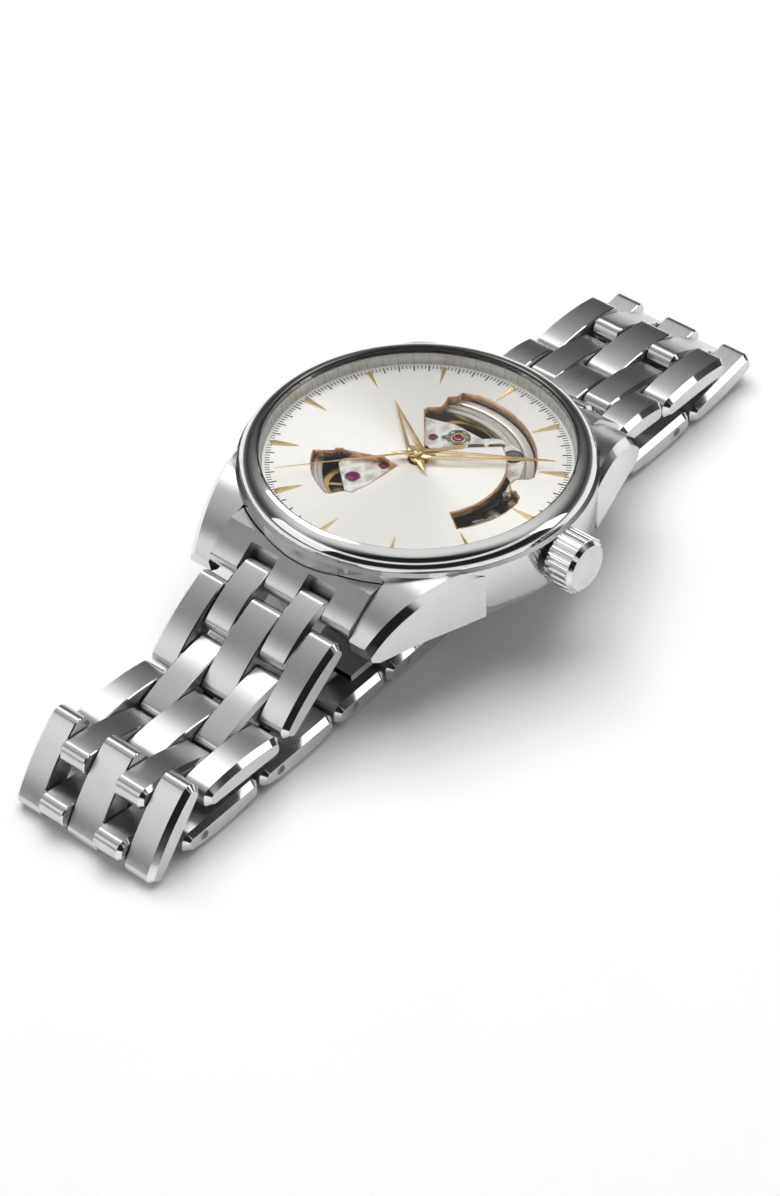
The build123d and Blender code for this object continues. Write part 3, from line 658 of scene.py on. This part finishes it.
def balance_gold():
    """Balance: a rim with broken edges on three tapering arms, with its hub and staff."""
    rim = lathe(((RIM_INNER, RIM_LOW + RIM_EDGE), (RIM_INNER + RIM_EDGE, RIM_LOW),
                 (RIM_OUTER - RIM_EDGE, RIM_LOW), (RIM_OUTER, RIM_LOW + RIM_EDGE),
                 (RIM_OUTER, RIM_HIGH - RIM_EDGE), (RIM_OUTER - RIM_EDGE, RIM_HIGH),
                 (RIM_INNER + RIM_EDGE, RIM_HIGH), (RIM_INNER, RIM_HIGH - RIM_EDGE),
                 (RIM_INNER, RIM_LOW + RIM_EDGE)), BALANCE, steps=128)
    arms = []
    for arm in range(ARMS):
        angle = FIRST_ARM + 360 / ARMS * arm
        along, across = Vector(polar(1, 90 - angle)), Vector(polar(1, 180 - angle))
        plan = [BALANCE + along * reach + across * side for reach, side in ARM_PLAN]
        arms.append(slab(plan, ARM_LOW, ARM_HIGH))
    wheel = bmesh.new()
    for part in (rim, lathe(HUB_PROFILE, BALANCE), blocks_mesh(arms)):
        wheel.from_mesh(part)
    mesh = bpy.data.meshes.new("piece")
    wheel.to_mesh(mesh)
    wheel.free()
    return mesh


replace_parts(add_piece("balance_gold", balance_gold(), "balance", gilt), "balance_wheel")

HAIRSPRING_START, HAIRSPRING_PITCH, HAIRSPRING_HEIGHT = 0.5, 0.22, -1.8
HAIRSPRING_TURNS, POINTS_PER_TURN = 8, 24
WIRE_RADIUS = 0.035


def hairspring_curve():
    """A flat spiral as a bevelled curve, over the balance."""
    data = bpy.data.curves.new("hairspring", "CURVE")
    data.dimensions = "3D"
    data.bevel_depth = WIRE_RADIUS * MM
    data.materials.append(spring_steel)
    line = data.splines.new("NURBS")
    line.points.add(HAIRSPRING_TURNS * POINTS_PER_TURN)
    for index, point in enumerate(line.points):
        turns = index / POINTS_PER_TURN
        radius = HAIRSPRING_START + HAIRSPRING_PITCH * turns
        x = BALANCE.x + radius * math.cos(math.tau * turns)
        y = BALANCE.y + radius * math.sin(math.tau * turns)
        point.co = (*(HEAD_MM @ Vector((x, y, HAIRSPRING_HEIGHT))), 1)
    line.use_endpoint_u = True
    return data


hairspring = show("hairspring", hairspring_curve())
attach(hairspring, "balance")

# ---------------------------------------------------------------- movement: jewels in their settings
# The balance jewel has a steel collar, a gilt chaton and two bowed springs that hold its cap jewel.
BRIDGE_TOP = -0.85
SUNK = 0.02
COLLAR = ring_profile(0.98, 1.38, BRIDGE_TOP - SUNK, -0.62, edge=0.08)
CHATON = ring_profile(0.6, 0.9, -1.04, -0.7, edge=0.08)
CAP_JEWEL = ((0.56, -1.05), (0.56, -0.72), (0.42, -0.64), (0.2, -0.6), (0.0, -0.59))
add_piece("balance_collar", lathe(COLLAR, BALANCE), "head", steel_mirror)
add_piece("balance_chaton", lathe(CHATON, BALANCE), "head", gold_mirror)
add_piece("cap_jewel", lathe(CAP_JEWEL, BALANCE), "head", ruby)

BOW_INNER, BOW_OUTER, BOW_LOW, BOW_HIGH = 0.42, 0.52, -0.66, -0.58
BOW_START, BOW_STEP, BOW_STEPS = 20, 14, 10


def shock_spring():
    """Two bows, one on each side of the cap jewel, made of short blocks."""
    blocks = []
    for side in (-1, 1):
        for step in range(BOW_STEPS):
            first = math.radians(side * (BOW_START + BOW_STEP * step))
            second = math.radians(side * (BOW_START + BOW_STEP * (step + 1)))
            plan = [BALANCE + Vector((math.cos(angle), math.sin(angle))) * radius for angle, radius in
                    ((first, BOW_INNER), (second, BOW_INNER), (second, BOW_OUTER), (first, BOW_OUTER))]
            blocks.append(slab(plan, BOW_LOW, BOW_HIGH))
    return blocks_mesh(blocks)


add_piece("shock_spring", shock_spring(), "head", gold_mirror, smooth=False)

# The plain jewels: where each one is, and its radius.
JEWELS = {
    "third": (joint_spot("third_wheel_turn"), 0.7),
    "centre": ((-2.8, -2.5), 0.42),
    "pallet": (joint_spot("pallet_rock"), 0.4),
}
for jewel, (spot, radius) in JEWELS.items():
    sink = ring_profile(radius + 0.02, radius + 0.2, BRIDGE_TOP - SUNK, -0.8, edge=0.04)
    dome = ((radius - 0.02, -0.752), (radius * 0.75, -0.7), (0.12, -0.68), (0.1, -0.74), (0.0, -0.74))
    add_piece(jewel + "_jewel_sink", lathe(sink, spot), "head", steel_mirror)
    add_piece(jewel + "_jewel_dome", lathe(dome, spot), "head", ruby)

# ---------------------------------------------------------------- movement: screws and keyless works
HEAD_DEEP = 0.3
SLOT_SHARE, RIM_SHARE, SLOT_DEEP_SHARE = 0.14, 0.12, 0.6
HALF_STEPS = 20


def screw_mesh(spot, radius, top, turn):
    """A round screw head with a bevelled rim, as two halves with a slot between, and the slot's floor."""
    half_slot, rim = radius * SLOT_SHARE, radius * RIM_SHARE
    vertices, faces = [], []
    for side in (1, -1):
        rings = []
        for reach, height in ((radius, top - HEAD_DEEP), (radius, top - rim), (radius - rim, top)):
            start = math.asin(half_slot / reach)
            rings.append([len(vertices) + step for step in range(HALF_STEPS + 1)])
            for step in range(HALF_STEPS + 1):
                angle = start + (math.pi - 2 * start) * step / HALF_STEPS
                x, y = reach * math.cos(angle) * side, reach * math.sin(angle) * side
                vertices.append((spot[0] + x * math.cos(turn) - y * math.sin(turn),
                                 spot[1] + x * math.sin(turn) + y * math.cos(turn), height))
        for low, high in zip(rings, rings[1:]):
            faces += [(low[i], low[i + 1], high[i + 1], high[i]) for i in range(HALF_STEPS)]
        slot_wall = [ring[0] for ring in rings] + [ring[-1] for ring in reversed(rings)]
        faces += [rings[-1], slot_wall, rings[0]]
    first, floor_reach, floor_height = len(vertices), radius - rim, top - HEAD_DEEP * SLOT_DEEP_SHARE
    for step in range(2 * HALF_STEPS):
        angle = math.pi * step / HALF_STEPS
        x, y = floor_reach * math.cos(angle), floor_reach * math.sin(angle)
        vertices.append((spot[0] + x, spot[1] + y, floor_height))
    faces.append(list(range(first, len(vertices))))
    return mesh_from(vertices, faces)


# Place, radius, top, the slot's turn in radians, and material.
COCK_SCREW = (7.1, 7.8)
SCREWS = {
    "cock_screw": (COCK_SCREW, 0.85, -0.68, 0.7, steel_dark),
    "plate_screw_a": ((8.7, -4.1), 0.42, -2.45, 1.2, steel_mirror),
    "cock_foot_screw": ((10.6, 2.2), 0.4, -0.72, 0.3, steel_mirror),
    "train_screw": ((-0.9, -9.6), 0.55, -0.75, 2.2, steel_mirror),
    "pallet_screw": ((-0.9, 5.6), 0.33, -0.9, 0.9, steel_dark),
    "plate_screw_b": ((9.4, -1.7), 0.4, -2.4, 0.2, steel_mirror),
}
for screw, (*shape, finish) in SCREWS.items():
    add_piece(screw, screw_mesh(*shape), "head", finish, smooth=False)

# A thin flat black ring round the cock screw's head, flush with the bridge: painted shade in the gap round
# the head.
COCK_SINK_SHADE = ring_profile(0.86, 1.12, BRIDGE_TOP - SUNK, -0.83, edge=0.01)
add_piece("cock_screw_sink_shade", lathe(COCK_SINK_SHADE, COCK_SCREW), "head", print_and_shade_black)

LEVER_EDGE = 0.06


def add_lever(name, outline, low, high, material):
    """A flat lever with broken edges, from its outline."""
    count = len(outline)
    vertices = [(*point, height) for height in (low, high) for point in outline]
    faces = [list(range(count)), list(range(count, 2 * count))]
    faces += [(i, (i + 1) % count, (i + 1) % count + count, i + count) for i in range(count)]
    made = add_piece(name, mesh_from(vertices, faces), "head", material, smooth=False)
    edge = made.modifiers.new("broken_edges", "BEVEL")
    edge.width = LEVER_EDGE * MM
    edge.segments = 2


# The keyless works show behind the lower end of the large opening.
SETTING_LEVER = ((8.9, -1.8), (9.6, -2.4), (10.5, -0.2), (10.7, 2.0), (10.1, 2.3), (9.9, 0.0))
YOKE = ((7.8, -4.7), (8.5, -5.3), (9.7, -3.9), (9.6, -3.0), (8.9, -3.2))
CLICK = ((8.9, 0.2), (9.4, 0.0), (9.8, 1.8), (9.6, 2.8), (9.1, 1.6))
add_lever("setting_lever", SETTING_LEVER, -3.2, -2.5, steel_mirror)
add_lever("yoke", YOKE, -3.2, -2.6, steel_side)
add_lever("click", CLICK, -3.2, -2.4, steel_dark)

# ---------------------------------------------------------------- floor and light, in metres
FLOOR_HALF, FLOOR_GAP = 3.0, 0.02 * MM
FLOOR_CORNERS = [(-FLOOR_HALF, -FLOOR_HALF, 0), (FLOOR_HALF, -FLOOR_HALF, 0),
                 (FLOOR_HALF, FLOOR_HALF, 0), (-FLOOR_HALF, FLOOR_HALF, 0)]
floor_mesh = bpy.data.meshes.new("floor")
floor_mesh.from_pydata(FLOOR_CORNERS, [], [(0, 1, 2, 3)])
floor_mesh.materials.append(plain_finish("floor_paper", (0.94, 0.94, 0.94), 0.75, scale=40, contrast=0.01))
floor = show("floor", floor_mesh)
floor.location.z = cad_box[0].z - FLOOR_GAP


def softbox(name, place, width, height, power):
    """A rectangular light aimed at the origin."""
    light = bpy.data.lights.new(name, "AREA")
    light.shape = "RECTANGLE"
    light.size, light.size_y, light.energy = width, height, power
    made = show(name, light)
    made.location = place
    made.rotation_euler = (-Vector(place)).to_track_quat("-Z", "Y").to_euler()
    return made


# The overhead box lights the floor and the dial, and no metal mirrors it: the metal mirrors only the
# smaller boxes and the room.
overhead = softbox("overhead", (-0.13, 0.15, 0.62), 0.66, 0.66, power=3.7)
overhead.visible_glossy = False
softbox("sheen", (-0.32, 0.19, 0.52), 0.22, 0.22, power=0.35)
softbox("fill", (-0.42, -0.60, 0.34), 0.55, 0.42, power=0.75)
softbox("rim", (0.56, 0.48, 0.34), 0.20, 0.50, power=0.45)

# The room's grey by height, from the horizon up, on its far side and on the camera's side.
FAR_SKY = ((0.0, 0.40), (0.10, 0.15), (0.32, 0.05), (0.52, 0.16), (0.66, 0.42), (0.82, 0.85), (1.0, 0.95))
NEAR_SKY = ((0.0, 0.50), (0.08, 0.10), (0.20, 0.02), (0.54, 0.02), (0.59, 0.90), (0.69, 0.95), (0.73, 0.02),
            (0.95, 0.02), (1.0, 0.80))
# The way to the camera in plan, and how far toward it the two skies blend.
CAMERA_SIDE = Vector((0.66, -0.75, 0))
BLEND_START, BLEND_END = -0.25, 0.35
ROOM_STRENGTH = 0.9


def colour_socket(sockets, name):
    """A mix node's colour socket: it has one of each name for each kind of data."""
    return next(socket for socket in sockets if socket.name == name and socket.type == "RGBA")


def studio_world():
    """Dark studio with a white sweep on the far side and a narrow bright band over the near side."""
    world = bpy.data.worlds.new("studio")
    bpy.context.scene.world = world
    world.use_nodes = True
    tree = world.node_tree
    where = tree.nodes.new("ShaderNodeTexCoord")
    parts = tree.nodes.new("ShaderNodeSeparateXYZ")
    tree.links.new(where.outputs["Generated"], parts.inputs[0])
    side = tree.nodes.new("ShaderNodeVectorMath")
    side.operation = "DOT_PRODUCT"
    side.inputs[1].default_value = CAMERA_SIDE
    tree.links.new(where.outputs["Generated"], side.inputs[0])
    blend = tree.nodes.new("ShaderNodeMapRange")
    blend.interpolation_type = "SMOOTHSTEP"
    set_inputs(blend, {1: BLEND_START, 2: BLEND_END})
    tree.links.new(side.outputs["Value"], blend.inputs[0])
    mix = tree.nodes.new("ShaderNodeMix")
    mix.data_type = "RGBA"
    tree.links.new(blend.outputs[0], mix.inputs["Factor"])
    for sky, name in ((FAR_SKY, "A"), (NEAR_SKY, "B")):
        ramp = tree.nodes.new("ShaderNodeValToRGB")
        set_stops(ramp, [(place, (grey, grey, grey)) for place, grey in sky])
        tree.links.new(parts.outputs["Z"], ramp.inputs[0])
        tree.links.new(ramp.outputs[0], colour_socket(mix.inputs, name))
    background = tree.nodes["Background"]
    tree.links.new(colour_socket(mix.outputs, "Result"), background.inputs["Color"])
    set_inputs(background, {"Strength": ROOM_STRENGTH})


studio_world()

# ---------------------------------------------------------------- camera, placed in the head's frame
AZIMUTH, ELEVATION, ROLL = math.radians(41.48), math.radians(41.01), math.radians(-1.0)
DISTANCE = 377.8
TARGET = Vector((12.8, -19.5, 0))
SENSOR, LENS = 36.0, 108.8
NEAR_CLIP, FAR_CLIP = 0.02, 20
back = Vector((math.sin(AZIMUTH) * math.cos(ELEVATION), -math.cos(AZIMUTH) * math.cos(ELEVATION),
               math.sin(ELEVATION)))
right = (-back).cross(Vector((0, 0, 1))).normalized()
up = right.cross(-back)
rolled_right = right * math.cos(ROLL) + up * math.sin(ROLL)
rolled_up = up * math.cos(ROLL) - right * math.sin(ROLL)
camera_axes = Matrix((rolled_right, rolled_up, back)).transposed().to_4x4()
camera_data = bpy.data.cameras.new("camera")
camera_data.lens, camera_data.sensor_width = LENS, SENSOR
camera_data.clip_start, camera_data.clip_end = NEAR_CLIP, FAR_CLIP
camera = show("camera", camera_data)
camera.matrix_world = Matrix.Translation(HEAD_MM @ (TARGET + back * DISTANCE)) @ HEAD_AXES @ camera_axes
bpy.context.scene.camera = camera
bpy.context.scene.view_settings.view_transform = "Standard"
